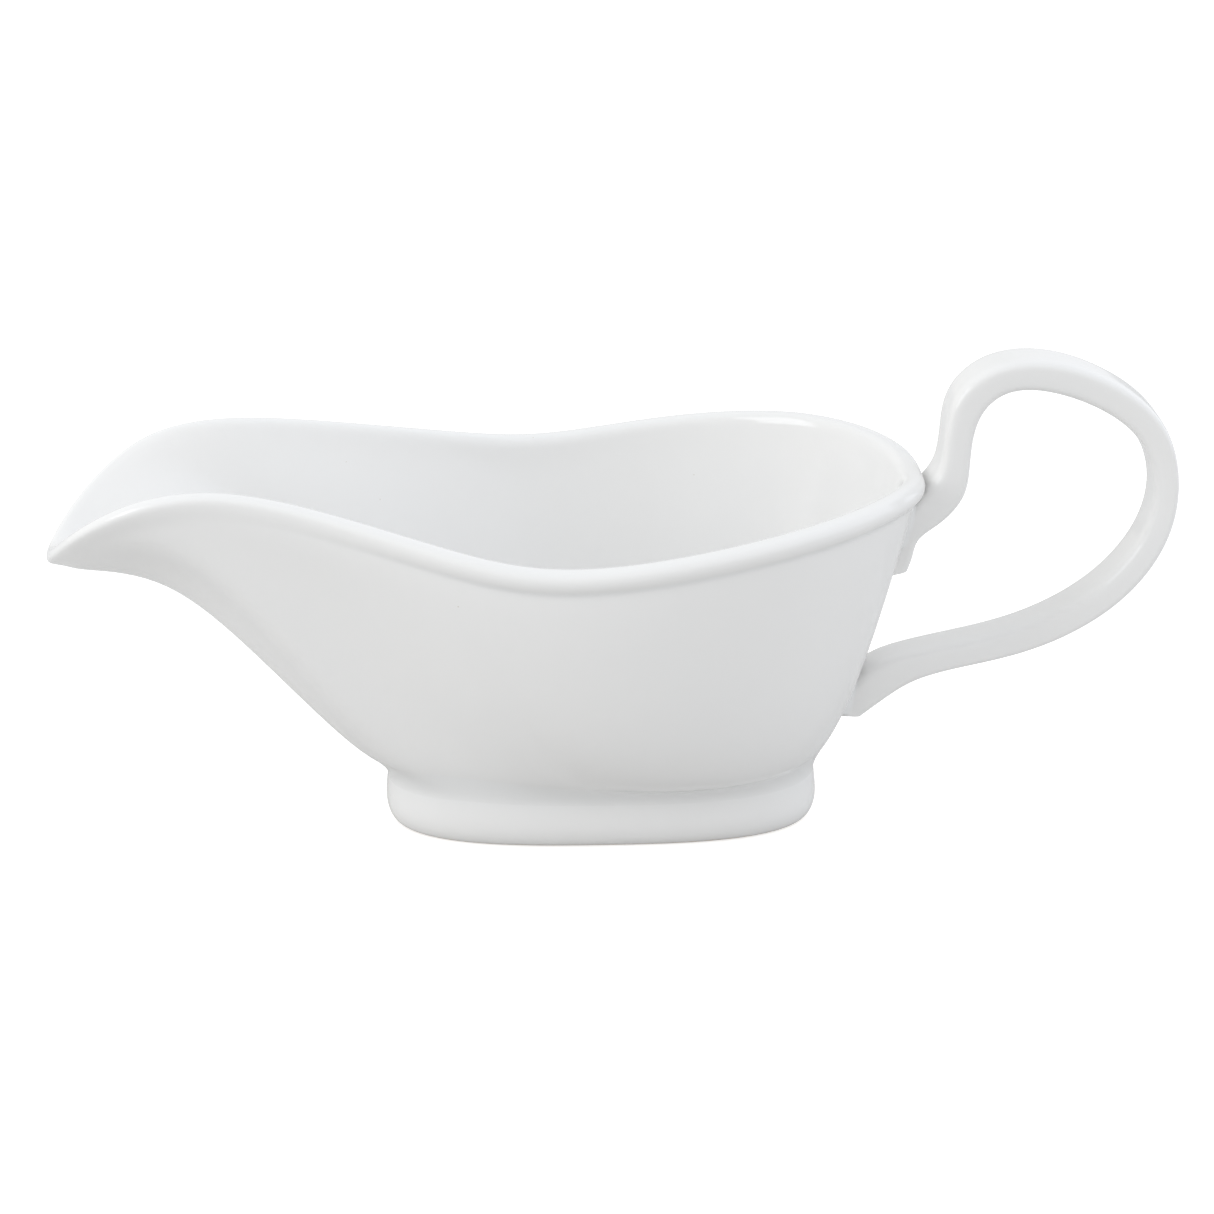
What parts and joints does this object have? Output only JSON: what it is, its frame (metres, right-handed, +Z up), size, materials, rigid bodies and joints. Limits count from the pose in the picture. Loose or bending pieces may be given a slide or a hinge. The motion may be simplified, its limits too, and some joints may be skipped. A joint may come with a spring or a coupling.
{
  "type": "gravy boat",
  "caption": "Boat-shaped glazed porcelain sauce bowl with a broad pouring spout, a rolled rim, an oval foot ring and a tall strap handle.",
  "frame": {"origin": "on the surface that it stands on, under the middle of its overall box", "axes": "+X from the spout to the handle, +Z up, y = 0 is the plane of symmetry"},
  "size_m": [0.2237, 0.0998, 0.0938],
  "materials": {
    "glazed_porcelain": "gloss",
    "glazed_slip": "gloss"
  },
  "bodies": {
    "root": {"bowl": "glazed_porcelain", "foot_ring": "glazed_porcelain", "handle": "glazed_porcelain", "foot_slip": "glazed_slip", "upper_handle_slip": "glazed_slip", "lower_handle_slip": "glazed_slip"}
  },
  "joints": []
}
